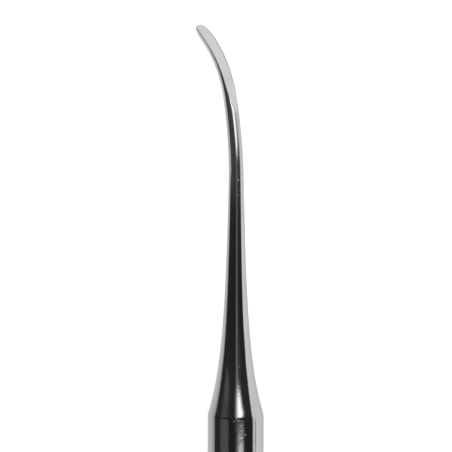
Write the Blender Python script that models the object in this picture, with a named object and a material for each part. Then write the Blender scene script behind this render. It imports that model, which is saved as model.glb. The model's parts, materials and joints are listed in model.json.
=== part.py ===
"""A dental root elevator: one solid piece of stainless steel, modelled in Blender.

The tool lies on one flat of its eight-sided grip. Its axis runs along +Y towards the blade, +Z is up, and
the blade bends towards -X. The origin is at the middle of the flat that it lies on. Sizes are in metres.
"""

import math

import bmesh
import bpy
from mathutils import Vector

# Grip: an eight-sided bar with its long corners turned down, and a cone at each end
GRIP_LENGTH = 0.0970
GRIP_ACROSS_FLATS = 0.0090
GRIP_SIDES = 8
GRIP_CORNER_BREAK = 0.00007
NECK_CONE_LENGTH = 0.0014
BUTT_CONE_LENGTH = 0.0024
BUTT_CONE_DEPTH = 0.0014

# Neck: the round length between the grip and the shoulder, where the shank begins
NECK_DIAMETER = 0.0080
NECK_LENGTH = 0.0120

# Shank: a straight taper, with a flare that grows towards the shoulder
THIN_DIAMETER = 0.00201
SHANK_LENGTH = 0.0349
SHANK_TAPER = 0.0197
BLADE_TAPER = 0.0044
TAPER_BLEND = 0.0020
FLARE_REACH = 0.00793

# Bend: an easy arc that starts in the shank, then a tighter one, then a straight end
BEND_START = 0.0334
EASY_RADIUS = 0.0797
EASY_ANGLE = math.radians(8.9)
TIGHT_RADIUS = 0.0209
TIGHT_ANGLE = math.radians(27.8)
STRAIGHT_END = 0.0010

# Ground face: a flat along the blade that runs out on the round shank, with sides that square up to it
FACE_LENGTH = 0.0144
FACE_RUN_OUT = 0.0064
FACE_TURN = math.radians(38)
BLADE_THICKNESS = 0.00143
TIP_THICKNESS = 0.00120
SQUARE_SIDE_LENGTH = 0.0100
TIP_SIDE_POWER = 3.5

# Tip: the face's outline and the back both come in to the end as ovals, where a power of 2 is a plain one
TIP_OUTLINE_LENGTH = 0.0026
TIP_OUTLINE_POWER = 2.9
TIP_BACK_LENGTH = 0.0017
TIP_BACK_POWER = 2.2
TIP_EDGE = 0.00020
TIP_OFFSET = 0.00061

# Facets, and how far the cutters reach past what they cut
RING_POINTS = 48
SHANK_STEP = 0.0011
BLADE_STEP = 0.0008
TIP_RINGS = 12
CUTTER_MARGIN = 0.0015
FACE_CLEARANCE = 0.00004
ROUND_POWER = 2.0
SHARP_EDGE_ANGLE = math.radians(25)

STEEL_COLOUR = (0.62, 0.62, 0.63, 1.0)
STEEL_ROUGHNESS = 0.12

AXIS_HEIGHT = GRIP_ACROSS_FLATS / 2
SHARP_CORNER_RADIUS = AXIS_HEIGHT / math.cos(math.pi / GRIP_SIDES)
GRIP_RADIUS = SHARP_CORNER_RADIUS - GRIP_CORNER_BREAK
SHOULDER_Y = GRIP_LENGTH / 2 + NECK_LENGTH
EASY_LENGTH = EASY_RADIUS * EASY_ANGLE
TIGHT_LENGTH = TIGHT_RADIUS * TIGHT_ANGLE
WORKING_LENGTH = BEND_START + EASY_LENGTH + TIGHT_LENGTH + STRAIGHT_END
FACE_START = WORKING_LENGTH - FACE_LENGTH


def clear_scene():
    for old in list(bpy.data.objects):
        bpy.data.objects.remove(old, do_unlink=True)


def soft_ramp(distance):
    """Zero well before 0 and equal to the distance well after it, with the corner rounded off."""
    return 0.5 * (distance + math.hypot(distance, TAPER_BLEND))


def shank_base(s):
    """The radius at s from the shoulder, without the flare."""
    ahead = SHANK_LENGTH - s
    return THIN_DIAMETER / 2 + SHANK_TAPER * soft_ramp(ahead) - BLADE_TAPER * soft_ramp(-ahead)


def shank_radius(s):
    """The radius at s from the shoulder, where the flare brings it to the neck's own."""
    flare_height = NECK_DIAMETER / 2 - shank_base(0)
    return shank_base(s) + flare_height * math.exp(-s / FLARE_REACH)


def centreline(s):
    """The tool's centre in X and Y at s from the shoulder, and how far it has turned towards -X."""
    easy_run = min(max(s - BEND_START, 0.0), EASY_LENGTH)
    tight_run = min(max(s - BEND_START - EASY_LENGTH, 0.0), TIGHT_LENGTH)
    end_run = max(s - BEND_START - EASY_LENGTH - TIGHT_LENGTH, 0.0)
    x, y, heading = 0.0, SHOULDER_Y + min(s, BEND_START), 0.0
    for run, radius in ((easy_run, EASY_RADIUS), (tight_run, TIGHT_RADIUS)):
        turned = heading + run / radius
        x -= radius * (math.cos(heading) - math.cos(turned))
        y += radius * (math.sin(turned) - math.sin(heading))
        heading = turned
    return x - end_run * math.sin(heading), y + end_run * math.cos(heading), heading


def placed(s, across, out):
    """The point at s from the shoulder, so far across the ground face and so far out along its normal."""
    x, y, heading = centreline(s)
    side = across * math.cos(FACE_TURN) + out * math.sin(FACE_TURN)
    up = out * math.cos(FACE_TURN) - across * math.sin(FACE_TURN)
    return Vector((x + side * math.cos(heading), y + side * math.sin(heading), AXIS_HEIGHT + up))


def ease(share):
    """Goes smoothly from 0 to 1."""
    share = min(max(share, 0.0), 1.0)
    return share * share * (3 - 2 * share)


def face_height(s):
    """How far the ground face lies from the centreline: just past the radius where it begins."""
    radius = shank_radius(s)
    along = max(s - FACE_START, 0.0)
    thickness = BLADE_THICKNESS + (TIP_THICKNESS - BLADE_THICKNESS) * along / FACE_LENGTH
    uncut = radius + FACE_CLEARANCE
    return uncut + (thickness - radius - uncut) * ease(along / FACE_RUN_OUT)


def side_power(s):
    """How square the blade's sides stand to its face: 2 where the section is round, and more towards the tip."""
    share = (s - WORKING_LENGTH) / SQUARE_SIDE_LENGTH + 1
    return ROUND_POWER + (TIP_SIDE_POWER - ROUND_POWER) * ease(share)


def squared(value, power):
    """A sine or cosine of the round section, moved out towards a square one."""
    return math.copysign(abs(value) ** (ROUND_POWER / power), value)


def tip_share(s, length, power):
    """1 along the blade, and round the quarter of an oval to 0 at the end of the tip."""
    left = min(max(WORKING_LENGTH - s, 0.0) / length, 1.0)
    return (1 - (1 - left) ** power) ** (1 / power)


def shank_ring(s):
    """The bar's section at s, drawn in at the tip towards a point just under the ground face."""
    radius = shank_radius(s)
    power = side_power(s)
    narrow = tip_share(s, TIP_OUTLINE_LENGTH, TIP_OUTLINE_POWER)
    thin = tip_share(s, TIP_BACK_LENGTH, TIP_BACK_POWER)
    keep_out = face_height(s) - TIP_EDGE / 2
    ring = []
    for i in range(RING_POINTS):
        angle = 2 * math.pi * i / RING_POINTS - FACE_TURN
        sine, cosine = math.sin(angle), math.cos(angle)
        if cosine > 0:
            sine, cosine = squared(sine, power), squared(cosine, power)
        across = -TIP_OFFSET + (radius * sine + TIP_OFFSET) * narrow
        out = keep_out + (radius * cosine - keep_out) * thin
        ring.append(placed(s, across, out))
    return ring


def turned_ring(y, radius, count=RING_POINTS, first=0.0):
    """A section square to the straight axis, with count corners and its first one so far round from the top."""
    ring = []
    for i in range(count):
        angle = 2 * math.pi * i / count + first
        ring.append(Vector((radius * math.sin(angle), y, AXIS_HEIGHT + radius * math.cos(angle))))
    return ring


def steps(start, end, step):
    """Evenly spaced stations from start up to, but not at, end, no further apart than step."""
    count = math.ceil((end - start) / step)
    return [start + (end - start) * i / count for i in range(count)]


def shank_stations():
    """Where the sections of the shank and blade stand: closer together where the form turns faster."""
    tip_start = WORKING_LENGTH - TIP_OUTLINE_LENGTH
    stations = steps(0.0, FACE_START, SHANK_STEP) + steps(FACE_START, tip_start, BLADE_STEP)
    for i in range(TIP_RINGS, 0, -1):
        back = 1 - math.cos(math.pi / 2 * i / TIP_RINGS)
        stations.append(WORKING_LENGTH - TIP_OUTLINE_LENGTH * back)
    return stations


def loft(name, rings, joined_ends=False):
    """A closed skin over rings of equal count, with flat ends or, where the ends are joined, as a sleeve."""
    mesh = bmesh.new()
    loops = [[mesh.verts.new(point) for point in ring] for ring in rings]
    pairs = list(zip(loops, loops[1:]))
    if joined_ends:
        pairs.append((loops[-1], loops[0]))
    else:
        mesh.faces.new(loops[0])
        mesh.faces.new(loops[-1])
    for near, far in pairs:
        for i in range(len(near)):
            j = (i + 1) % len(near)
            mesh.faces.new((near[i], near[j], far[j], far[i]))
    bmesh.ops.recalc_face_normals(mesh, faces=mesh.faces)
    data = bpy.data.meshes.new(name)
    mesh.to_mesh(data)
    mesh.free()
    solid = bpy.data.objects.new(name, data)
    bpy.context.scene.collection.objects.link(solid)
    return solid


def steel():
    """Polished stainless steel."""
    material = bpy.data.materials.new("polished_steel")
    material.use_nodes = True
    shader = material.node_tree.nodes["Principled BSDF"]
    shader.inputs["Base Color"].default_value = STEEL_COLOUR
    shader.inputs["Metallic"].default_value = 1.0
    shader.inputs["Roughness"].default_value = STEEL_ROUGHNESS
    return material


def turned_and_bent_bar():
    """The whole tool as it leaves the lathe and the bending block, still round all along."""
    grip_end = GRIP_LENGTH / 2
    rings = [
        turned_ring(-grip_end, GRIP_RADIUS - BUTT_CONE_DEPTH),
        turned_ring(-grip_end + BUTT_CONE_LENGTH, GRIP_RADIUS),
        turned_ring(grip_end - NECK_CONE_LENGTH, GRIP_RADIUS),
        turned_ring(grip_end, NECK_DIAMETER / 2),
    ]
    rings += [shank_ring(s) for s in shank_stations()]
    bar = loft("root_elevator", rings)
    bar.data.materials.append(steel())
    bar.data.shade_smooth()
    bar.data.set_sharp_from_angle(angle=SHARP_EDGE_ANGLE)
    return bar


def flats_cutter():
    """A sleeve with an eight-sided hole, which leaves the grip's flats, one of them at the bottom."""
    end = GRIP_LENGTH / 2 + CUTTER_MARGIN
    hole = SHARP_CORNER_RADIUS
    outside = hole + CUTTER_MARGIN
    corner = math.pi / GRIP_SIDES
    rings = []
    for y, radius in ((-end, hole), (-end, outside), (end, outside), (end, hole)):
        rings.append(turned_ring(y, radius, GRIP_SIDES, corner))
    return loft("flats_cutter", rings, joined_ends=True)


def face_cutter():
    """A slab that follows the bend and whose underside is the ground face."""
    wide = shank_radius(FACE_START) + CUTTER_MARGIN
    high = shank_radius(FACE_START) + CUTTER_MARGIN
    rings = []
    for s in steps(FACE_START, WORKING_LENGTH + CUTTER_MARGIN, BLADE_STEP):
        low = face_height(s)
        corners = ((-wide, low), (wide, low), (wide, high), (-wide, high))
        rings.append([placed(s, across, out) for across, out in corners])
    return loft("face_cutter", rings)


def cut(body, cutter):
    """Takes the cutter's shape out of the body, and leaves the cutter as a wire guide."""
    cutter.hide_render = True
    cutter.display_type = "WIRE"
    boolean = body.modifiers.new(cutter.name, "BOOLEAN")
    boolean.operation = "DIFFERENCE"
    boolean.object = cutter


def build():
    clear_scene()
    elevator = turned_and_bent_bar()
    cut(elevator, flats_cutter())
    cut(elevator, face_cutter())


build()
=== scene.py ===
"""The looks of a dental root elevator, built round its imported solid.

Geometry Nodes roll a flat sheet of faces into the turned bar, grind the grip's flats and the blade's face
on it, and bend it. One steel finishes the whole tool. Sizes are in metres, and places are the solid's.
"""

import json
import math

import bmesh
import bpy
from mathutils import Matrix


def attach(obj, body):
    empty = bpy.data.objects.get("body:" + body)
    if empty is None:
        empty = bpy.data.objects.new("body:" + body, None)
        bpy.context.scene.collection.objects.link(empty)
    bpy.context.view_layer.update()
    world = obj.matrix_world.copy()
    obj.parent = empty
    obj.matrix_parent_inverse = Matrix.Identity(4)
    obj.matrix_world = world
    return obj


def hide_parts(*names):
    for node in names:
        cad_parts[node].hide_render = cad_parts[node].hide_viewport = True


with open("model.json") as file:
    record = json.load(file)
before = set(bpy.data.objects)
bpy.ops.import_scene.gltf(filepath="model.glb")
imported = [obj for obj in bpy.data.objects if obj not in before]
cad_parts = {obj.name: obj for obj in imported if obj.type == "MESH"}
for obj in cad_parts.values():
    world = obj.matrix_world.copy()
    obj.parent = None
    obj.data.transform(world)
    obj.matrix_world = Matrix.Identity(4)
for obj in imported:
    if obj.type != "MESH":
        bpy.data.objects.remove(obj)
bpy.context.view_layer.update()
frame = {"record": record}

MOUNT_PLACES = {mount["name"]: mount["pos_m"] for mount in frame["record"]["mounts"]}
BUTT_Y, AXIS_HEIGHT = MOUNT_PLACES["butt_face"][1:]

# The tool's driving sizes: the solid's, with a few of them fitted closer to the photographed outline
SIZES = {
    "Axis height": AXIS_HEIGHT,
    "Grip length": -2 * BUTT_Y,
    "Grip corner break": 0.00007,
    "Neck cone length": 0.0014,
    "Butt cone length": 0.0024,
    "Butt cone depth": 0.0014,
    "Butt edge break": 0.00015,
    "Neck radius": 0.00400,
    "Neck length": 0.0120,
    "Thin radius": 0.001021,
    "Shank length": 0.0351,
    "Shank taper": 0.0194,
    "Blade taper": 0.0049,
    "Taper blend": 0.0020,
    "Flare reach": 0.00784,
    "Shoulder overrun": 0.00008,
    "Shoulder rounding": 0.00012,
    "Bend start": 0.0334,
    "Easy radius": 0.0797,
    "Easy angle": math.radians(8.9),
    "Tight radius": 0.0207,
    "Tight angle": math.radians(29.7),
    "Straight end": 0.0004,
    "Face length": 0.01495,
    "Face run-out": 0.0061,
    "Face turn": math.radians(37.5),
    "Face edge rounding": 0.00001,
    "Flat edge rounding": 0.00004,
    "Rim width": 0.00028,
    "Rim slope": 0.25,
    "Rim blend": 0.00002,
    "Blade thickness": 0.001555,
    "Tip thickness": 0.001333,
    "Square wall length": 0.0100,
    "Tip wall power": 3.5,
    "Tip outline length": 0.0030,
    "Tip outline power": 2.95,
    "Tip back length": 0.00173,
    "Tip back power": 2.1,
    "Tip edge": 0.00020,
    "Tip offset": 0.00069,
}
ROUND_POWER = 2.0
GRIP_SIDES = 8
FACE_CLEARANCE = 0.00004

# The least values that keep the rim's formula away from a division by zero
LEAST_GAUGE = 0.01
LEAST_STEEPNESS = 1.0

# The sheet's points: how many round the bar, and the longest gap between its rows in each part
TURN_POINTS = 192
BUTT_FACE_STEP = 0.0005
BUTT_EDGE_STEP = 0.00002
CONE_STEP = 0.00012
GRIP_STEP = 0.0040
NECK_STEP = 0.0010
SHOULDER_STEP = 0.00004
FLARE_STEP = 0.00022
BLADE_STEP = 0.00010
TIP_ROWS = 36

# Next to a turned corner is a part of one short row, for which any step longer than it will do
CORNER_GAP = 0.00003
ONE_ROW = 1.0

# How far the fine rows reach on either side of the shoulder
SHOULDER_REACH = 0.0004

# Angles from the face's normal where its points and its edge's points end while they are evenly spaced
FACE_POINTS_END = math.radians(22.5)
EDGE_POINTS_END = math.radians(52.5)

# The edge's least angle, and how far its crowded points reach beside it: at the face's start, and beyond
LEAST_EDGE_ANGLE = math.radians(37.5)
LOOSE_EDGE_BAND = math.radians(15)
CLOSE_EDGE_BAND = math.radians(6)

# The finished mesh: how close points count as one, and the angle from which an edge is sharp
MERGE_DISTANCE = 0.0000001
SHARP_EDGE_ANGLE = math.radians(15)

# How far the worn bright band reaches on either side of an edge
CONE_WEAR_REACH = 0.00025
BUTT_WEAR_REACH = 0.00035
GRIP_CORNER_WEAR_REACH = 0.00010
FACE_WEAR_REACH = 0.00006


class Field:
    """A number in a node tree. Arithmetic on it adds the Math nodes that work it out."""

    def __init__(self, tree, socket):
        self.tree = tree
        self.socket = socket

    def math(self, operation, *others):
        node = self.tree.nodes.new("ShaderNodeMath")
        node.operation = operation
        for place, value in enumerate((self, *others)):
            set_input(self.tree, node.inputs[place], value)
        return Field(self.tree, node.outputs[0])

    def __neg__(self):
        return self.math("MULTIPLY", -1.0)

    def __add__(self, other):
        return self.math("ADD", other)

    def __radd__(self, other):
        return self.math("ADD", other)

    def __sub__(self, other):
        return self.math("SUBTRACT", other)

    def __rsub__(self, other):
        return self.math("MULTIPLY_ADD", -1.0, other)

    def __mul__(self, other):
        return self.math("MULTIPLY", other)

    def __rmul__(self, other):
        return self.math("MULTIPLY", other)

    def __truediv__(self, other):
        return self.math("DIVIDE", other)

    def __rtruediv__(self, other):
        return self.math("POWER", -1.0) * other

    def __pow__(self, other):
        return self.math("POWER", other)

    def least(self, other):
        return self.math("MINIMUM", other)

    def most(self, other):
        return self.math("MAXIMUM", other)

    def kept_between(self, low, high):
        return self.most(low).least(high)

    def soft_least(self, other, rounding):
        return self.math("SMOOTH_MIN", other, rounding)

    def magnitude(self):
        return self.math("ABSOLUTE")

    def sign(self):
        return self.math("SIGN")

    def above(self, limit):
        return self.math("GREATER_THAN", limit)

    def sine(self):
        return self.math("SINE")

    def cosine(self):
        return self.math("COSINE")

    def root(self):
        return self.math("SQRT")


def set_input(tree, socket, value):
    """Links a field or an output to the socket, or sets its value."""
    if isinstance(value, Field):
        tree.links.new(value.socket, socket)
    elif isinstance(value, bpy.types.NodeSocket):
        tree.links.new(value, socket)
    else:
        socket.default_value = value


def add_node(tree, kind, settings=None, **inputs):
    """A new node with its settings, and its inputs by name with spaces written as underscores."""
    node = tree.nodes.new(kind)
    for name, value in (settings or {}).items():
        setattr(node, name, value)
    for name, value in inputs.items():
        set_input(tree, node.inputs[name.replace("_", " ")], value)
    return node


def combined(tree, x, y, z):
    """Three fields as one place."""
    return add_node(tree, "ShaderNodeCombineXYZ", X=x, Y=y, Z=z).outputs["Vector"]


def link(name, data):
    """A new object in the scene for a mesh or a camera."""
    made = bpy.data.objects.new(name, data)
    bpy.context.scene.collection.objects.link(made)
    return made


def ease(share):
    """Goes smoothly from 0 to 1."""
    share = share.kept_between(0.0, 1.0)
    return share * share * (3 - 2 * share)


def smooth_step(value, start, end):
    """Goes smoothly from 0 at the start to 1 at the end, which may lie on either side of it."""
    return ease((value - start) / (end - start))


def soft_ramp(distance, blend):
    """Zero well before 0 and equal to the distance well after it, with the corner rounded off."""
    return 0.5 * (distance + (distance * distance + blend * blend).root())


def closeness(distance, reach):
    """1 at no distance, falling to 0 at the reach on either side."""
    return (1 - distance.magnitude() / reach).most(0.0)


def shank_base(size, station):
    """The shank's radius without the flare."""
    ahead = size["Shank length"] - station
    thick = size["Shank taper"] * soft_ramp(ahead, size["Taper blend"])
    thin = size["Blade taper"] * soft_ramp(-ahead, size["Taper blend"])
    return size["Thin radius"] + thick - thin


def turned_radius(size, station):
    """The bar's radius as it leaves the lathe.

    Stations run along the centreline from the shoulder, and fall below 0 down the grip.
    """
    flare_height = size["Neck radius"] + size["Shoulder overrun"] - shank_base(size, 0.0)
    forward = station.most(-SHOULDER_REACH)
    flare = flare_height * (-forward / size["Flare reach"]).math("EXPONENT")
    shank = shank_base(size, forward) + flare
    shank = shank.soft_least(size["Neck radius"], size["Shoulder rounding"])
    corner_radius = size["Axis height"] / math.cos(math.pi / GRIP_SIDES)
    grip_radius = corner_radius - size["Grip corner break"]
    into_grip = (-station - size["Neck length"]) / size["Neck cone length"]
    grip = (grip_radius - size["Neck radius"]) * into_grip.kept_between(0.0, 1.0)
    from_butt = station + size["Neck length"] + size["Grip length"]
    into_cone = (1 - from_butt / size["Butt cone length"]).kept_between(0.0, 1.0)
    butt_cone = size["Butt cone depth"] * into_cone
    into_edge = (1 - from_butt / size["Butt edge break"]).kept_between(0.0, 1.0)
    butt_edge = size["Butt edge break"] * (1 - (1 - into_edge * into_edge).root())
    over_the_end = (-from_butt).most(0.0)
    return (shank + grip - butt_cone - butt_edge - over_the_end).most(0.0)


def with_grip_flats(size, radius, turn):
    """The radius with the grip's flats ground on it, one of them at the bottom."""
    side = 2 * math.pi / GRIP_SIDES
    from_middle = turn.math("WRAP", side / 2, -side / 2)
    flat = size["Axis height"] / from_middle.cosine()
    return radius.soft_least(flat, size["Flat edge rounding"])


def arc_lengths(size):
    """The lengths of the easy and the tight arc of the bend, along the centreline."""
    return size["Easy radius"] * size["Easy angle"], size["Tight radius"] * size["Tight angle"]


def working_length(size):
    """From the shoulder to the tip, along the centreline. The sizes are fields or plain numbers."""
    easy_length, tight_length = arc_lengths(size)
    return size["Bend start"] + easy_length + tight_length + size["Straight end"]


def face_height(size, radius, along):
    """How far the ground face lies from the centreline: just past the radius where it begins."""
    share = along / size["Face length"]
    thickness = size["Blade thickness"] + (size["Tip thickness"] - size["Blade thickness"]) * share
    uncut = radius + FACE_CLEARANCE
    return uncut + (thickness - radius - uncut) * ease(along / size["Face run-out"])


def wall_power(size, along):
    """How square the blade's sides stand to its face: 2 for a round section, and more at the tip."""
    into_walls = along - size["Face length"] + size["Square wall length"]
    gain = size["Tip wall power"] - ROUND_POWER
    return ROUND_POWER + gain * ease(into_walls / size["Square wall length"])


def squared(share, power):
    """A sine or cosine of the round section, pushed out towards a square one."""
    return share.sign() * share.magnitude() ** (ROUND_POWER / power)


def crowded_angle(size, share_of_turn, radius, height, along):
    """The angle round the bar from the face's normal. The points crowd where the face's edges run."""
    whole_angle = (share_of_turn * 2 * math.pi - size["Face turn"]).math("WRAP", math.pi, -math.pi)
    angle = whole_angle.magnitude()
    reach = (height / radius).kept_between(0.0, 1.0) ** (wall_power(size, along) / ROUND_POWER)
    edge = reach.math("ARCCOSINE").most(LEAST_EDGE_ANGLE)
    band_loss = LOOSE_EDGE_BAND - CLOSE_EDGE_BAND
    band = LOOSE_EDGE_BAND - band_loss * ease(along / size["Face run-out"])
    edge_points = EDGE_POINTS_END - FACE_POINTS_END
    on_face = angle.least(FACE_POINTS_END) / FACE_POINTS_END
    in_band = (angle - FACE_POINTS_END).kept_between(0.0, edge_points) / edge_points
    on_back = (angle - EDGE_POINTS_END).most(0.0) / (math.pi - EDGE_POINTS_END)
    crowded = on_face * (edge - band) + in_band * 2 * band + on_back * (math.pi - edge - band)
    return whole_angle.sign() * crowded


def tip_share(size, station, part):
    """1 along the blade, and round the quarter of an oval to 0 at the end of the tip."""
    power = size[f"Tip {part} power"]
    to_the_end = (working_length(size) - station).most(0.0)
    rounded = (1 - (to_the_end / size[f"Tip {part} length"]).least(1.0)) ** power
    return (1 - rounded) ** (1 / power)


def into_tip(size, station):
    """How far into the rounding of the tip's outline: 0 along the blade, and 1 at its very end."""
    to_the_end = working_length(size) - station
    return 1 - (to_the_end / size["Tip outline length"]).kept_between(0.0, 1.0)


def rim_drop(size, station, side, radius):
    """How far the broken edge along the blade's outline falls below the face. The left edge has none.

    The outline is an oval round the tip. Its gauge is 0 in the middle and 1 on the outline.
    """
    power = size["Tip outline power"]
    end = into_tip(size, station)
    reach = side.magnitude()
    gauge = (end**power + reach**power).most(LEAST_GAUGE) ** (1 / power)
    across = reach ** (power - 1) / radius
    lengthwise = end ** (power - 1) / size["Tip outline length"]
    steepness = (across * across + lengthwise * lengthwise).root() * gauge ** (1 - power)
    inside = (1 - gauge) / steepness.most(LEAST_STEEPNESS)
    slope = size["Rim slope"] * ease((side + 1) / 2)
    return slope * soft_ramp(size["Rim width"] - inside, size["Rim blend"])


def ground_section(size, station, along, radius, angle, height):
    """The blade's ground and rounded section.

    Gives the place across the face, the place out along the face's normal, and how far out past the face
    the surface lay before it was ground.
    """
    narrow = tip_share(size, station, "outline")
    thin = tip_share(size, station, "back")
    keep_out = height - size["Tip edge"] / 2
    on_face_side = angle.cosine().above(0.0)
    power = ROUND_POWER + (wall_power(size, along) - ROUND_POWER) * on_face_side
    side_share = squared(angle.sine(), power)
    wide = radius * side_share
    deep = radius * squared(angle.cosine(), power)
    across = (wide + size["Tip offset"]) * narrow - size["Tip offset"]
    out = keep_out + (deep - keep_out) * thin
    face = height - rim_drop(size, station, side_share * narrow, radius)
    return across, out.soft_least(face, size["Face edge rounding"]), out - height


def centreline(size, station):
    """The tool's centre in X and Y, and how far it has turned towards -X."""
    easy_length, tight_length = arc_lengths(size)
    past = station - size["Bend start"]
    easy_turn = past.most(0.0).least(easy_length) / size["Easy radius"]
    tight_turn = (past - easy_length).most(0.0).least(tight_length) / size["Tight radius"]
    end_run = (past - easy_length - tight_length).most(0.0)
    heading = easy_turn + tight_turn
    shoulder = size["Grip length"] / 2 + size["Neck length"]
    butt = -size["Neck length"] - size["Grip length"]
    x = -size["Easy radius"] * (1 - easy_turn.cosine())
    x = x - size["Tight radius"] * (easy_turn.cosine() - heading.cosine()) - end_run * heading.sine()
    y = shoulder + station.most(butt).least(size["Bend start"]) + size["Easy radius"] * easy_turn.sine()
    y = y + size["Tight radius"] * (heading.sine() - easy_turn.sine()) + end_run * heading.cosine()
    return x, y, heading


def bent_place(tree, size, station, across, out):
    """The place on the bent tool, from the places across the blade's face and out from the centreline."""
    tilt = size["Face turn"]
    side = across * tilt.cosine() + out * tilt.sine()
    up = out * tilt.cosine() - across * tilt.sine()
    x, y, heading = centreline(size, station)
    x = x + side * heading.cosine()
    y = y + side * heading.sine()
    return combined(tree, x, y, size["Axis height"] + up)


def worn_edges(size, station, along, turned, radius, depth):
    """How close the surface is to an edge that wears: the face's, or the grip's corners and ends."""
    face_edge = closeness(depth, FACE_WEAR_REACH) * ease(along / size["Face run-out"])
    into_grip = -station - size["Neck length"]
    off_corner = turned - radius - size["Flat edge rounding"]
    grip_corner = closeness(off_corner, GRIP_CORNER_WEAR_REACH) * into_grip.above(0.0)
    grip_end = closeness(into_grip - size["Neck cone length"], CONE_WEAR_REACH)
    from_butt = station + size["Neck length"] + size["Grip length"]
    butt = closeness(from_butt, BUTT_WEAR_REACH)
    butt_cone = closeness(from_butt - size["Butt cone length"], CONE_WEAR_REACH)
    return face_edge.most(grip_corner).most(grip_end).most(butt).most(butt_cone)


def bar_nodes(steel):
    """The node tree that rolls the sheet up, grinds it and bends it."""
    tree = bpy.data.node_groups.new("turned_ground_and_bent", "GeometryNodeTree")
    tree.interface.new_socket("Geometry", in_out="INPUT", socket_type="NodeSocketGeometry")
    for name in SIZES:
        tree.interface.new_socket(name, in_out="INPUT", socket_type="NodeSocketFloat")
    tree.interface.new_socket("Geometry", in_out="OUTPUT", socket_type="NodeSocketGeometry")
    entry = tree.nodes.new("NodeGroupInput")
    size = {name: Field(tree, entry.outputs[name]) for name in SIZES}

    position = tree.nodes.new("GeometryNodeInputPosition").outputs["Position"]
    sheet = add_node(tree, "ShaderNodeSeparateXYZ", Vector=position)
    share_of_turn = Field(tree, sheet.outputs["X"])
    station = Field(tree, sheet.outputs["Y"])
    along = (station - working_length(size) + size["Face length"]).most(0.0)
    turned = turned_radius(size, station)
    height = face_height(size, turned, along)
    angle = crowded_angle(size, share_of_turn, turned, height, along)
    turn = angle + size["Face turn"]
    radius = with_grip_flats(size, turned, turn)
    across, out, depth = ground_section(size, station, along, radius, angle, height)

    straight = combined(tree, radius * turn.sine(), station, radius * turn.cosine())
    attributes = (
        ("bar_place", "FLOAT_VECTOR", straight),
        ("ground_depth", "FLOAT", depth),
        ("edge_closeness", "FLOAT", worn_edges(size, station, along, turned, radius, depth)),
    )
    flow = entry.outputs["Geometry"]
    for name, kind, value in attributes:
        store = add_node(
            tree,
            "GeometryNodeStoreNamedAttribute",
            {"data_type": kind},
            Geometry=flow,
            Name=name,
            Value=value,
        )
        flow = store.outputs["Geometry"]
    bent = bent_place(tree, size, station, across, out)
    moved = add_node(tree, "GeometryNodeSetPosition", Geometry=flow, Position=bent)
    whole = add_node(tree, "GeometryNodeRealizeInstances", Geometry=moved.outputs["Geometry"])
    finished = add_node(
        tree, "GeometryNodeSetMaterial", Geometry=whole.outputs["Geometry"], Material=steel
    )
    add_node(tree, "NodeGroupOutput", Geometry=finished.outputs["Geometry"])
    return tree


def steps(start, end, step):
    """Evenly spaced stations from start up to, but not at, end, no further apart than step."""
    count = math.ceil((end - start) / step)
    return [start + (end - start) * i / count for i in range(count)]


def sheet_rows():
    """The sheet's rows, from the middle of the butt face to the tip: closer where the form turns more."""
    tip = working_length(SIZES)
    neck_end = -SIZES["Neck length"]
    grip_cone = neck_end - SIZES["Neck cone length"]
    butt = neck_end - SIZES["Grip length"]
    butt_middle = butt - AXIS_HEIGHT
    edge_end = butt + SIZES["Butt edge break"]
    butt_cone = butt + SIZES["Butt cone length"]
    face = tip - SIZES["Face length"]
    rounding = tip - SIZES["Tip outline length"]
    parts = (
        (butt_middle, butt, BUTT_FACE_STEP),
        (butt, edge_end, BUTT_EDGE_STEP),
        (edge_end, butt_cone, CONE_STEP),
        (butt_cone, butt_cone + CORNER_GAP, ONE_ROW),
        (butt_cone + CORNER_GAP, grip_cone - CORNER_GAP, GRIP_STEP),
        (grip_cone - CORNER_GAP, grip_cone, ONE_ROW),
        (grip_cone, neck_end, CONE_STEP),
        (neck_end, neck_end + CORNER_GAP, ONE_ROW),
        (neck_end + CORNER_GAP, -SHOULDER_REACH, NECK_STEP),
        (-SHOULDER_REACH, SHOULDER_REACH, SHOULDER_STEP),
        (SHOULDER_REACH, face, FLARE_STEP),
        (face, rounding, BLADE_STEP),
    )
    rows = []
    for start, end, step in parts:
        rows += steps(start, end, step)
    for i in range(TIP_ROWS, -1, -1):
        back = 1 - math.cos(math.pi / 2 * i / TIP_ROWS)
        rows.append(tip - SIZES["Tip outline length"] * back)
    return rows


def flat_sheet():
    """The faces before they are rolled up. X is the share of a turn round the bar, and Y the station.

    Each row's last face goes back to its first point, so the rolled sheet has no seam.
    """
    rows = sheet_rows()
    points = [(i / TURN_POINTS, station, 0.0) for station in rows for i in range(TURN_POINTS)]
    faces = []
    for row in range(len(rows) - 1):
        here = row * TURN_POINTS
        there = here + TURN_POINTS
        for i in range(TURN_POINTS):
            j = (i + 1) % TURN_POINTS
            faces.append((here + i, here + j, there + j, there + i))
    mesh = bpy.data.meshes.new("sheet")
    mesh.from_pydata(points, [], faces)
    return mesh


def rolled_bar(steel):
    """The sheet as the node tree shapes it, in one plain mesh."""
    blank = link("blank", flat_sheet())
    tree = bar_nodes(steel)
    shaping = blank.modifiers.new("shaping", "NODES")
    shaping.node_group = tree
    for item in tree.interface.items_tree:
        if item.in_out == "INPUT" and item.name in SIZES:
            shaping[item.identifier] = SIZES[item.name]
    shaped = blank.evaluated_get(bpy.context.evaluated_depsgraph_get())
    mesh = bpy.data.meshes.new_from_object(shaped)
    mesh.name = "root_elevator_bar"
    blank.modifiers.clear()
    bpy.data.objects.remove(blank)
    return mesh


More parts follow.
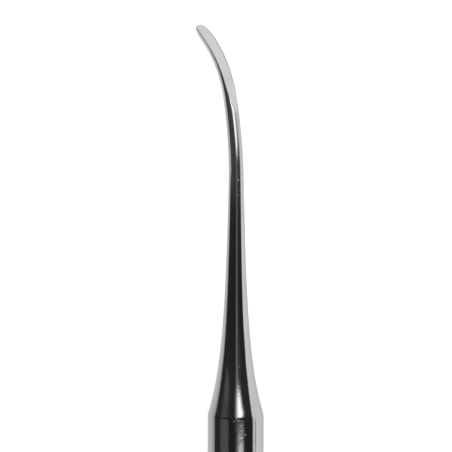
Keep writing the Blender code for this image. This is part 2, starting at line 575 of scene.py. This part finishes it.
def close_ends(mesh):
    """Merges the points that meet at the butt's middle and at the tip, and turns the faces outwards."""
    closed = bmesh.new()
    closed.from_mesh(mesh)
    bmesh.ops.remove_doubles(closed, verts=closed.verts, dist=MERGE_DISTANCE)
    bmesh.ops.recalc_face_normals(closed, faces=closed.faces)
    closed.to_mesh(mesh)
    closed.free()


def root_elevator(steel):
    """The whole tool, which stands for the solid of the same name."""
    mesh = rolled_bar(steel)
    close_ends(mesh)
    mesh.shade_smooth()
    mesh.set_sharp_from_angle(angle=SHARP_EDGE_ANGLE)
    tool = link("root_elevator_bar", mesh)
    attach(tool, "root")
    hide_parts("root_elevator")


# The steel's colour and polish
STEEL_GREY = 0.62
GRAZING_GREY = 0.80
POLISH_ROUGHNESS = 0.07
LEAST_ROUGHNESS = 0.06
MOST_ROUGHNESS = 0.5
BLADE_HAZE = 0.06

# Where each finish sets in and is full: stations along the bar, and for the face the depth ground off
GRIP_FINISH_BLEND = 0.0004
GRIP_FINISH = (-SIZES["Neck length"], -SIZES["Neck length"] - GRIP_FINISH_BLEND)
LATHE_FINISH = (0.0075, 0.0020)
BLADE_FINISH = (0.028, 0.036)
FACE_FINISH = (0.0, 0.00005)

# Patches to the metre, across the bar and along it
RING_PATCHES = (3200.0, 5200.0)
FINE_RING_PATCHES = (500.0, 14000.0)
POLISH_LINE_PATCHES = (7000.0, 260.0)
GRAIN_PATCHES = (9000.0, 420.0)
SMUDGE_PATCHES = (420.0, 260.0)
WEAR_PATCHES = (1500.0, 900.0)
NICK_CELLS = (900.0, 650.0)

# How many finer layers the noise of the patches has
PLAIN_DETAIL = 2.0
FINE_DETAIL = 3.0

# Values of the noise: its middle, where a smudge begins, and where wear sets in and is full
NOISE_MIDDLE = 0.5
SMUDGE_START = 0.4
WEAR_START = (0.30, 0.60)

# How much each finish changes the grey
SMUDGE_GREY = 0.05
POLISH_LINE_GREY = 0.02
WEAR_GREY = 0.05

# How much each finish adds to the roughness
RING_ROUGHNESS = 0.06
SMUDGE_ROUGHNESS = 0.10
GRIP_ROUGHNESS = 0.13
GRAIN_ROUGHNESS = 0.10
WEAR_ROUGHNESS = 0.16
NICK_ROUGHNESS = 0.10
MARK_ROUGHNESS = 0.22

# How deep each finish is
RING_DEPTH = 0.0000085
FINE_RING_DEPTH = 0.0000016
POLISH_LINE_DEPTH = 0.0000010
GRAIN_DEPTH = 0.0000016
NICK_DEPTH = 0.000012

# The scattered nicks: the share of cells that have one, and its rim and floor in cells from the middle
NICK_SHARE = 0.14
NICK_RIM = 0.14
NICK_FLOOR = 0.04

# The nicks that the photograph shows, each at its full depth over this share of its reach
MARK_FLOOR = 0.4

# Their degrees round the bar from its top, the station, the bar's radius there and the nick's reach
MARKS = (
    (14.0, 0.0337, 0.00110, 0.00009),
    (14.0, 0.0315, 0.00114, 0.00007),
    (9.7, 0.0405, 0.00092, 0.00010),
    (20.5, 0.0372, 0.00102, 0.00010),
    (9.5, 0.0073, 0.00247, 0.00007),
    (19.0, -0.0021, 0.00400, 0.00014),
    (1.2, 0.0001, 0.00400, 0.00016),
    (-2.5, -0.0002, 0.00400, 0.00018),
    (-52.0, 0.0005, 0.00390, 0.00012),
)


def bar_attribute(tree, name, output):
    """What the node tree stored on the bar under this name."""
    return add_node(tree, "ShaderNodeAttribute", {"attribute_name": name}).outputs[output]


def stretched(tree, place, patch_counts):
    """The place on the straight bar, in patches across the bar and along it."""
    across, along = patch_counts
    product = add_node(tree, "ShaderNodeVectorMath", {"operation": "MULTIPLY"})
    set_input(tree, product.inputs[0], place)
    product.inputs[1].default_value = (across, along, across)
    return product.outputs["Vector"]


def patches(tree, place, patch_counts, detail=PLAIN_DETAIL):
    """Soft noise from 0 to 1, with so many patches to the metre across the bar and along it."""
    where = stretched(tree, place, patch_counts)
    noise = add_node(tree, "ShaderNodeTexNoise", Vector=where, Scale=1.0, Detail=detail)
    return Field(tree, noise.outputs["Fac"])


def nicks(tree, place):
    """Small scattered pits, 1 in their middle: about one cell in seven has one."""
    where = stretched(tree, place, NICK_CELLS)
    cells = add_node(tree, "ShaderNodeTexVoronoi", Vector=where, Scale=1.0)
    tint = add_node(tree, "ShaderNodeSeparateColor", Color=cells.outputs["Color"])
    chosen = Field(tree, tint.outputs["Red"]).above(1 - NICK_SHARE)
    return smooth_step(Field(tree, cells.outputs["Distance"]), NICK_RIM, NICK_FLOOR) * chosen


def marks(tree, place):
    """The small bright nicks that the photograph shows, 1 in their middle."""
    total = None
    for degrees, station, radius, reach in MARKS:
        turn = math.radians(degrees)
        offset = add_node(tree, "ShaderNodeVectorMath", {"operation": "DISTANCE"})
        set_input(tree, offset.inputs[0], place)
        offset.inputs[1].default_value = (radius * math.sin(turn), station, radius * math.cos(turn))
        mark = smooth_step(Field(tree, offset.outputs["Value"]), reach, MARK_FLOOR * reach)
        total = mark if total is None else total.most(mark)
    return total


def polished_steel():
    """Polished stainless steel: lathe rings on the neck and flare, polish lines ahead, a satin grip."""
    material = bpy.data.materials.new("polished_stainless_steel")
    material.use_nodes = True
    tree = material.node_tree
    shader = tree.nodes["Principled BSDF"]
    place = bar_attribute(tree, "bar_place", "Vector")
    depth = Field(tree, bar_attribute(tree, "ground_depth", "Fac"))
    edge = Field(tree, bar_attribute(tree, "edge_closeness", "Fac"))
    station = Field(tree, add_node(tree, "ShaderNodeSeparateXYZ", Vector=place).outputs["Y"])

    grip = smooth_step(station, *GRIP_FINISH)
    lathe = smooth_step(station, *LATHE_FINISH) * (1 - grip)
    blade = smooth_step(station, *BLADE_FINISH)
    on_face = smooth_step(depth, *FACE_FINISH) * blade

    rings = patches(tree, place, RING_PATCHES)
    fine_rings = patches(tree, place, FINE_RING_PATCHES)
    lines = patches(tree, place, POLISH_LINE_PATCHES)
    grain = patches(tree, place, GRAIN_PATCHES, FINE_DETAIL)
    smudges = patches(tree, place, SMUDGE_PATCHES, FINE_DETAIL)
    wear = edge * smooth_step(patches(tree, place, WEAR_PATCHES), *WEAR_START)
    pits = nicks(tree, place)
    scuffs = marks(tree, place)

    grey = STEEL_GREY + (smudges - NOISE_MIDDLE) * SMUDGE_GREY
    grey = grey + (lines - NOISE_MIDDLE) * POLISH_LINE_GREY + wear * WEAR_GREY
    colour = add_node(tree, "ShaderNodeCombineColor", Red=grey, Green=grey, Blue=grey)
    set_input(tree, shader.inputs["Base Color"], colour.outputs["Color"])
    haze = BLADE_HAZE * blade * (1 - on_face)
    set_input(tree, shader.inputs["Metallic"], 1 - haze)
    shader.inputs["Specular Tint"].default_value = (GRAZING_GREY, GRAZING_GREY, GRAZING_GREY, 1.0)

    rough = POLISH_ROUGHNESS + lathe * rings * RING_ROUGHNESS
    rough = rough + (smudges - SMUDGE_START).most(0.0) * SMUDGE_ROUGHNESS
    rough = rough + grip * (GRIP_ROUGHNESS + grain * GRAIN_ROUGHNESS)
    rough = rough + wear * WEAR_ROUGHNESS + pits * NICK_ROUGHNESS + scuffs * MARK_ROUGHNESS
    set_input(tree, shader.inputs["Roughness"], rough.kept_between(LEAST_ROUGHNESS, MOST_ROUGHNESS))

    height = lathe * (rings * RING_DEPTH + fine_rings * FINE_RING_DEPTH)
    height = height + (1 - lathe) * lines * POLISH_LINE_DEPTH + grip * grain * GRAIN_DEPTH
    height = height - pits * NICK_DEPTH * (1 - grip) * (1 - on_face) - scuffs * NICK_DEPTH
    bump = add_node(tree, "ShaderNodeBump", Strength=1.0, Distance=1.0, Height=height)
    set_input(tree, shader.inputs["Normal"], bump.outputs["Normal"])
    return material


# The camera looks straight down on the shank. Its place is measured from the middle of the shoulder
SHOULDER_Y = -BUTT_Y + SIZES["Neck length"]
CAMERA_SIDEWAYS = -0.001447
CAMERA_AHEAD = 0.02711
CAMERA_ABOVE = 0.17936
CAMERA_TURN = math.radians(0.137)
CAMERA_LENS = 100.0
CAMERA_SENSOR = 36.0
NEAREST_SEEN = 0.01
FURTHEST_SEEN = 20.0


def camera():
    """The photograph's camera."""
    data = bpy.data.cameras.new("camera")
    data.lens = CAMERA_LENS
    data.sensor_width = CAMERA_SENSOR
    data.clip_start = NEAREST_SEEN
    data.clip_end = FURTHEST_SEEN
    holder = link("camera", data)
    holder.location = (CAMERA_SIDEWAYS, SHOULDER_Y + CAMERA_AHEAD, AXIS_HEIGHT + CAMERA_ABOVE)
    holder.rotation_euler = (0.0, 0.0, CAMERA_TURN)
    bpy.context.scene.camera = holder


# The studio: how high its level cards hang, most of them a little above the camera
LAMP_HEIGHT = 0.2
LENS_RIM_HEIGHT = LAMP_HEIGHT + 0.002
LEFT_CARD_HEIGHT = LAMP_HEIGHT + 0.004
CANOPY_HEIGHT = LAMP_HEIGHT + 0.01
LOW_LAMP_HEIGHT = LAMP_HEIGHT / 4
GLOW_HEIGHT = 0.016
# The sheets of painted floor shade lie just over the floor
PAINTED_SHADE_HEIGHT = 0.0004

# The floor's paper, and white light
PAPER_HALF_WIDTH = 4.0
PAPER_GREY = 0.8
PAPER_ROUGHNESS = 0.9
WHITE = (1.0, 1.0, 1.0, 1.0)

# How brightly the dark cards shine, and the dark part of the others
DARK = 0.027


def glow(name, strength):
    """A material that only shines. The strength is a number, or a function of the places in X and Y.

    The function's Y runs forwards from the shoulder.
    """
    material = bpy.data.materials.new(name)
    material.use_nodes = True
    tree = material.node_tree
    tree.nodes.clear()
    if callable(strength):
        place = tree.nodes.new("ShaderNodeTexCoord").outputs["Object"]
        parts = add_node(tree, "ShaderNodeSeparateXYZ", Vector=place)
        x = Field(tree, parts.outputs["X"])
        y = Field(tree, parts.outputs["Y"]) - SHOULDER_Y
        strength = strength(x, y)
    shine = add_node(tree, "ShaderNodeEmission", Strength=strength)
    add_node(tree, "ShaderNodeOutputMaterial", Surface=shine.outputs["Emission"])
    return material


def card(name, corners, strength, lights=False):
    """A card of the studio that only reflections see, or that lights the floor as well."""
    mesh = bpy.data.meshes.new(name)
    mesh.from_pydata(corners, [], [(0, 1, 2, 3)])
    mesh.materials.append(glow(name, strength))
    made = link(name, mesh)
    made.visible_camera = False
    made.visible_shadow = False
    made.visible_diffuse = lights


def level_card(name, x, y, height, strength):
    """A level card between two places in X and two ahead of the shoulder."""
    left, right = x
    near, far = SHOULDER_Y + y[0], SHOULDER_Y + y[1]
    corners = [(left, near, height), (left, far, height), (right, far, height), (right, near, height)]
    card(name, corners, strength, lights=name in FLOOR_LIGHTS)


def upright_card(name, x, y, z, strength):
    """A card that stands beside the tool, between two places ahead of the shoulder and two heights."""
    near, far = SHOULDER_Y + y[0], SHOULDER_Y + y[1]
    low, high = z
    corners = [(x, near, low), (x, far, low), (x, far, high), (x, near, high)]
    card(name, corners, strength)


def white_when_seen(tree, seen, reflected, unseen):
    """The strength for camera rays, for glossy and transmission rays, and for all others."""
    path = tree.nodes.new("ShaderNodeLightPath")
    camera_ray = Field(tree, path.outputs["Is Camera Ray"])
    glossy_ray = Field(tree, path.outputs["Is Glossy Ray"])
    clear_ray = Field(tree, path.outputs["Is Transmission Ray"])
    mirrored = glossy_ray.most(clear_ray)
    return unseen + (seen - unseen) * camera_ray + (reflected - unseen) * mirrored


def white_paper():
    """The floor's plain white paper."""
    paper = bpy.data.materials.new("white_paper")
    paper.use_nodes = True
    tree = paper.node_tree
    shader = tree.nodes["Principled BSDF"]
    shader.inputs["Base Color"].default_value = (PAPER_GREY, PAPER_GREY, PAPER_GREY, 1.0)
    shader.inputs["Roughness"].default_value = PAPER_ROUGHNESS
    shader.inputs["Specular IOR Level"].default_value = 0.0
    shader.inputs["Emission Color"].default_value = WHITE
    strength = white_when_seen(tree, seen=0.65, reflected=0.29, unseen=0.0)
    set_input(tree, shader.inputs["Emission Strength"], strength)
    return paper


def floor():
    """A sheet of white paper, far wider than the view."""
    wide = PAPER_HALF_WIDTH
    corners = [(-wide, -wide, 0), (wide, -wide, 0), (wide, wide, 0), (-wide, wide, 0)]
    mesh = bpy.data.meshes.new("floor")
    mesh.from_pydata(corners, [], [(0, 1, 2, 3)])
    mesh.materials.append(white_paper())
    link("floor", mesh)


def backdrop():
    """White all round."""
    world = bpy.data.worlds.new("white_backdrop")
    world.use_nodes = True
    bpy.context.scene.world = world
    tree = world.node_tree
    background = tree.nodes["Background"]
    background.inputs["Color"].default_value = WHITE
    strength = white_when_seen(tree, seen=1.0, reflected=1.0, unseen=0.7)
    set_input(tree, background.inputs["Strength"], strength)


def soft_edges(place, start, full, fall, end):
    """A smooth rise from the start to full, times a smooth fall from there to the end."""
    return smooth_step(place, start, full) * smooth_step(place, end, fall)


def past_edge(place, edge, softness):
    """0 before the edge and 1 past it, going over smoothly within the softness on either side."""
    return smooth_step(place, edge - softness, edge + softness)


# The next functions say how brightly each card shines at a place in X and a place ahead of the shoulder


def front_lamp(x, y):
    """The main light, ahead of the tool. It grows to the right, and ends there along a slanted line."""
    strength = 1.7
    left_strength = 0.12
    slant = 1.2
    slant_middle = 0.075
    bow = 0.0042
    bow_start = 0.040
    bow_width = 0.050
    grown = strength * smooth_step(x, start=-0.014, end=0.062)
    grown = grown + left_strength * smooth_step(x, start=-0.040, end=0.0)
    right_end = smooth_step(x - slant * (y - slant_middle), start=0.128, end=0.058)
    bowed = (x - bow_start).most(0.0) / bow_width
    near_edge = smooth_step(y - bow * bowed * bowed, start=0.0567, end=0.0602)
    return (grown * right_end * near_edge).most(lens_rim(x, y))


def back_lamp(x, y):
    """The light behind the shoulder, which the neck's bright streak reflects."""
    strength = 2.9
    across = soft_edges(x, start=0.0, full=0.070, fall=0.045, end=0.150)
    lengthwise = soft_edges(y, start=-0.140, full=-0.120, fall=-0.0478, end=-0.0410)
    return DARK + strength * across * lengthwise


def side_lamp(x, y):
    """A low light that only the blade's bend reflects: bright on the left and dim beyond."""
    bright = 1.55
    least_dim = 0.12
    slant = 0.20
    slant_start = 0.014
    slant_width = 0.030
    dim = least_dim + 0.35 * smooth_step(y, start=0.0505, end=0.0545)
    across = dim + (bright - dim) * smooth_step(x, start=0.048, end=0.022)
    slanted = y - slant * (x - slant_start).kept_between(0.0, slant_width)
    return DARK + across * smooth_step(slanted, start=0.0402, end=0.0422)


def edge_lamp(x, y):
    """A low light that only the start of the bend's bright streak reflects."""
    strength = 2.3
    across = smooth_step(x, start=-0.018, end=-0.003)
    lengthwise = smooth_step(y, start=0.0482, end=0.0500)
    return DARK + strength * across * lengthwise


def lens_rim(x, y):
    """The faint light round the camera, dimmer towards the back."""
    strength = 0.16
    loss_behind = 0.07 * smooth_step(y, start=-0.020, end=-0.031)
    across = soft_edges(x, start=-0.012, full=0.016, fall=0.026, end=0.068)
    return DARK + (strength - loss_behind) * across


def front_card(x, y):
    """A faint card ahead on the left, with a slightly brighter band across it."""
    slant = 0.055
    across = soft_edges(x, start=-0.620, full=-0.260, fall=-0.220, end=-0.085)
    body = 0.060 * smooth_step(y + slant * x, start=0.041, end=0.051)
    band = 0.025 * soft_edges(y, start=0.055, full=0.065, fall=0.078, end=0.095)
    return DARK + across * (body + band)


def back_card(x, y):
    """A faint card behind on the left."""
    strength = 0.080
    return DARK + strength * soft_edges(x, start=-0.640, full=-0.220, fall=-0.125, end=-0.107)


def canopy(x, y):
    """The dark overhead: a little darker over the flare and the neck, and lighter ahead on the right."""
    loss_behind = 0.007 * smooth_step(y, start=0.050, end=0.020)
    on_the_right = 0.030 * soft_edges(x, start=0.050, full=0.080, fall=0.095, end=0.165)
    return DARK - loss_behind + on_the_right * smooth_step(y, start=0.024, end=0.034)


def right_ceiling(x, y):
    """Dark near the tool and light beyond. The light part comes nearer beside the shank and far ahead."""
    shank_middle = 0.035
    edge = 0.60
    further = 0.18 * smooth_step((y - shank_middle).magnitude(), start=0.020, end=0.090)
    nearer = 0.14 * smooth_step(y, start=0.15, end=0.30)
    light = 0.87 - 0.08 * smooth_step(y, start=-0.05, end=-0.15)
    return DARK + (light - DARK) * past_edge(x, edge + further - nearer, softness=0.04)


def right_glow(x, y):
    """The low light close to the right. Its edge is nearer beside the bend, and further by the flare."""
    strength = 0.85
    edge = 0.0272
    nearer = 0.0044 * smooth_step(y, start=0.036, end=0.0435)
    further = 0.0060 * smooth_step(y, start=0.0155, end=0.0115)
    return DARK + strength * past_edge(x, edge - nearer + further, softness=0.0014)


def right_gap(x, y):
    """A low strip on the right: bright beside the shank, dark behind it and dimmer ahead."""
    strength = 0.85
    loss_behind = 0.79 * smooth_step(y, start=-0.010, end=-0.040)
    loss_ahead = 0.40 * smooth_step(y, start=0.070, end=0.100)
    return strength - loss_behind - loss_ahead


def painted_floor_shade_left(x, y):
    """Painted shade: the floor's reflection, falling off with the logarithm of the distance from the
    shank.
    """
    millimetres_away = -1000 * x
    log_distance = millimetres_away.math("LOGARITHM", math.e)
    beside_shank = 1.3 - 0.245 * log_distance
    beside_blade = 1.38 - 0.12 * log_distance
    return beside_shank + (beside_blade - beside_shank) * smooth_step(y, start=0.036, end=0.052)


# Painted shade: how brightly the floor is mirrored close to the right of the blade
PAINTED_FLOOR_SHADE_RIGHT = 0.58

# The level cards: their places in X and ahead of the shoulder, their height and how brightly they shine
LEVEL_CARDS = (
    ("canopy", (-2.5, 0.50), (-0.8, 0.8), CANOPY_HEIGHT, canopy),
    ("right_ceiling", (0.50, 3.5), (-0.8, 0.40), CANOPY_HEIGHT, right_ceiling),
    ("front_lamp", (-0.040, 0.200), (0.050, 0.160), LAMP_HEIGHT, front_lamp),
    ("back_lamp", (0.0, 0.160), (-0.140, -0.030), LAMP_HEIGHT, back_lamp),
    ("side_lamp", (0.010, 0.080), (0.0402, 0.070), LOW_LAMP_HEIGHT, side_lamp),
    ("lens_rim", (-0.015, 0.075), (-0.040, 0.062), LENS_RIM_HEIGHT, lens_rim),
    ("front_card", (-0.640, -0.085), (0.040, 0.300), LEFT_CARD_HEIGHT, front_card),
    ("back_card", (-0.640, -0.107), (-0.160, -0.026), LEFT_CARD_HEIGHT, back_card),
    # Painted shade: sheets just over the floor that only reflections see, in place of the floor's
    # reflection
    ("painted_floor_shade_left", (-0.350, -0.0048), (-0.25, 0.25), PAINTED_SHADE_HEIGHT, painted_floor_shade_left),
    ("painted_floor_shade_right", (0.006, 0.080), (0.049, 0.090), PAINTED_SHADE_HEIGHT, PAINTED_FLOOR_SHADE_RIGHT),
    ("right_glow", (0.0205, 0.0365), (0.011, 0.062), GLOW_HEIGHT, right_glow),
    ("edge_lamp", (-0.018, 0.010), (0.0482, 0.0560), LOW_LAMP_HEIGHT, edge_lamp),
)
FLOOR_LIGHTS = ("front_lamp", "back_lamp")

# The upright cards: their place in X, their places ahead of the shoulder, their heights and their shine
UPRIGHT_CARDS = (
    ("neck_flag", -0.060, (-0.16, 0.022), (0.0, 0.012), DARK),
    ("shank_flag", -0.030, (0.020, 0.036), (0.0030, 0.0092), DARK),
    ("right_gap", 0.440, (-0.30, 0.30), (0.0, 0.026), right_gap),
)


def studio():
    """A white floor and backdrop, a dark canopy overhead, and the lamps and cards under it."""
    floor()
    backdrop()
    for row in LEVEL_CARDS:
        level_card(*row)
    for row in UPRIGHT_CARDS:
        upright_card(*row)


bpy.context.scene.view_settings.view_transform = "Standard"
root_elevator(polished_steel())
camera()
studio()
